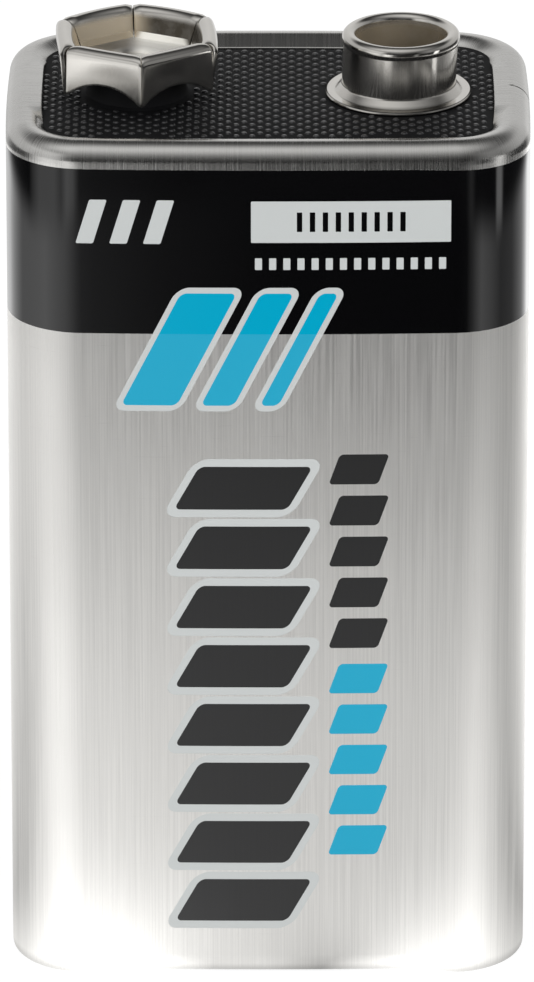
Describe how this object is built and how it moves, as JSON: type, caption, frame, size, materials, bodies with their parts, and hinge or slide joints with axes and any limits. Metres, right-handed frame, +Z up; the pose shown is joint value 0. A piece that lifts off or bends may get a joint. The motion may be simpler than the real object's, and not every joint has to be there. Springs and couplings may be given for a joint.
{
  "type": "nine volt battery",
  "caption": "Rectangular snap-terminal battery: rolled metal case with round cells in series under a stud and a hex socket.",
  "frame": {"origin": "middle of the underside, on the plane the battery stands on", "axes": "+Z up through the terminals, -Y out of the printed front, +X from the negative socket to the positive stud"},
  "size_m": [0.0254, 0.0174, 0.0466],
  "materials": {
    "case_sheet": "brushed, with a gloss black band printed round the top",
    "plate_plastic": "fine raised texture",
    "nickel_plate": "bright nickel plate",
    "eyelet_metal": "bright",
    "nickel_strip": "satin",
    "insulating_card": "plain pressed fibre",
    "liner_film": "thin film",
    "cell_can": "drawn steel can",
    "sleeve_film": "shrunk film"
  },
  "bodies": {
    "root": {"case": "case_sheet", "top_plate": "plate_plastic", "bottom_plate": "plate_plastic", "negative_terminal": "nickel_plate", "positive_terminal": "nickel_plate", "negative_eyelet": "eyelet_metal", "positive_eyelet": "eyelet_metal", "negative_lead": "nickel_strip", "positive_lead": "nickel_strip", "top_card": "insulating_card", "bottom_card": "insulating_card", "liner": "liner_film", "cell_1": "cell_can", "cell_sleeve_1": "sleeve_film", "cell_2": "cell_can", "cell_sleeve_2": "sleeve_film", "cell_3": "cell_can", "cell_sleeve_3": "sleeve_film", "cell_4": "cell_can", "cell_sleeve_4": "sleeve_film", "cell_5": "cell_can", "cell_sleeve_5": "sleeve_film", "cell_6": "cell_can", "cell_sleeve_6": "sleeve_film", "strap_1_2": "nickel_strip", "strap_2_3": "nickel_strip", "strap_3_4": "nickel_strip", "strap_4_5": "nickel_strip", "strap_5_6": "nickel_strip"}
  },
  "joints": []
}
